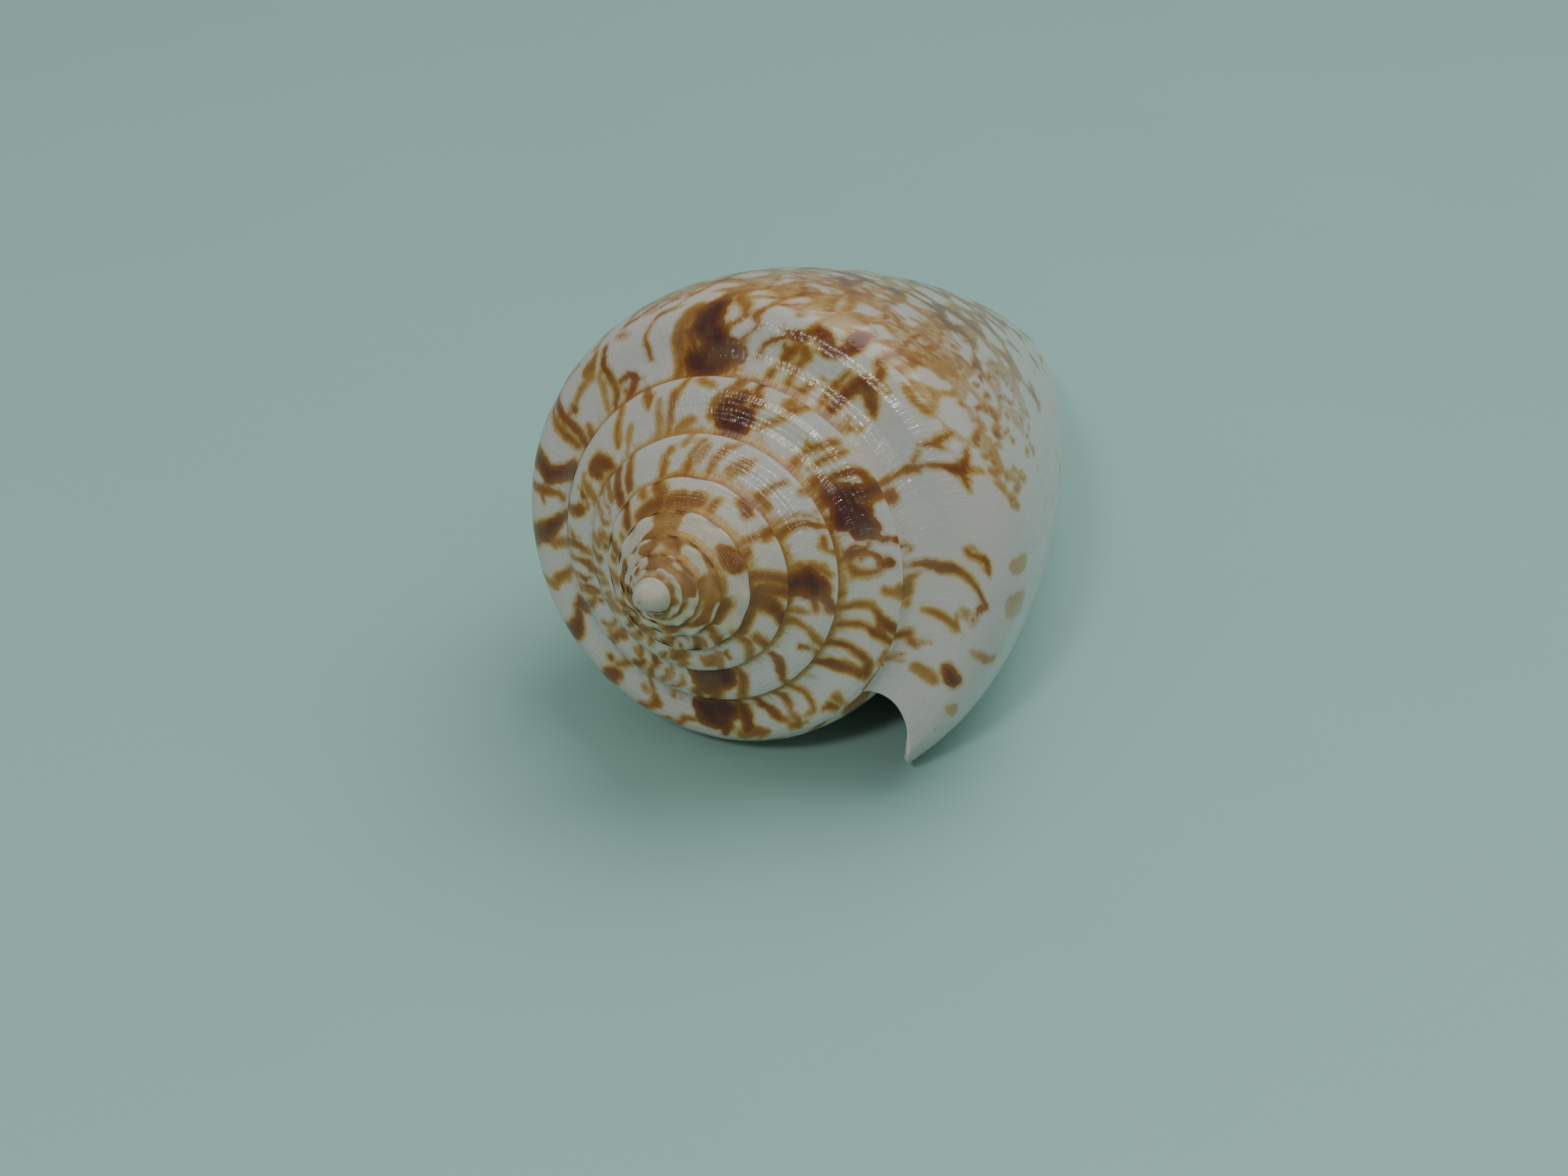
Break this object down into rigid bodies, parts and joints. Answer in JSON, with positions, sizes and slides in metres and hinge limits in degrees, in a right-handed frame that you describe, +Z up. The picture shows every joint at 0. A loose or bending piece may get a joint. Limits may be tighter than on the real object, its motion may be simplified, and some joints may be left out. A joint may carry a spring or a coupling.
{
  "type": "cone shell",
  "caption": "Cone-shaped sea shell with a concave stepped spire, rounded shoulder, thin lip and long narrow aperture; a natural ornament that lies on a surface, aperture side down.",
  "frame": {"origin": "centre of the bounding box in plan, on the surface the shell lies on", "axes": "+Z up; +Y along the shell's length from the spire's tip towards the anterior end; +X towards the lip"},
  "size_m": [0.028, 0.0608, 0.0257],
  "materials": {
    "shell": "glossy white shell with orange-brown markings"
  },
  "bodies": {
    "root": {"shell": "shell"}
  },
  "joints": []
}
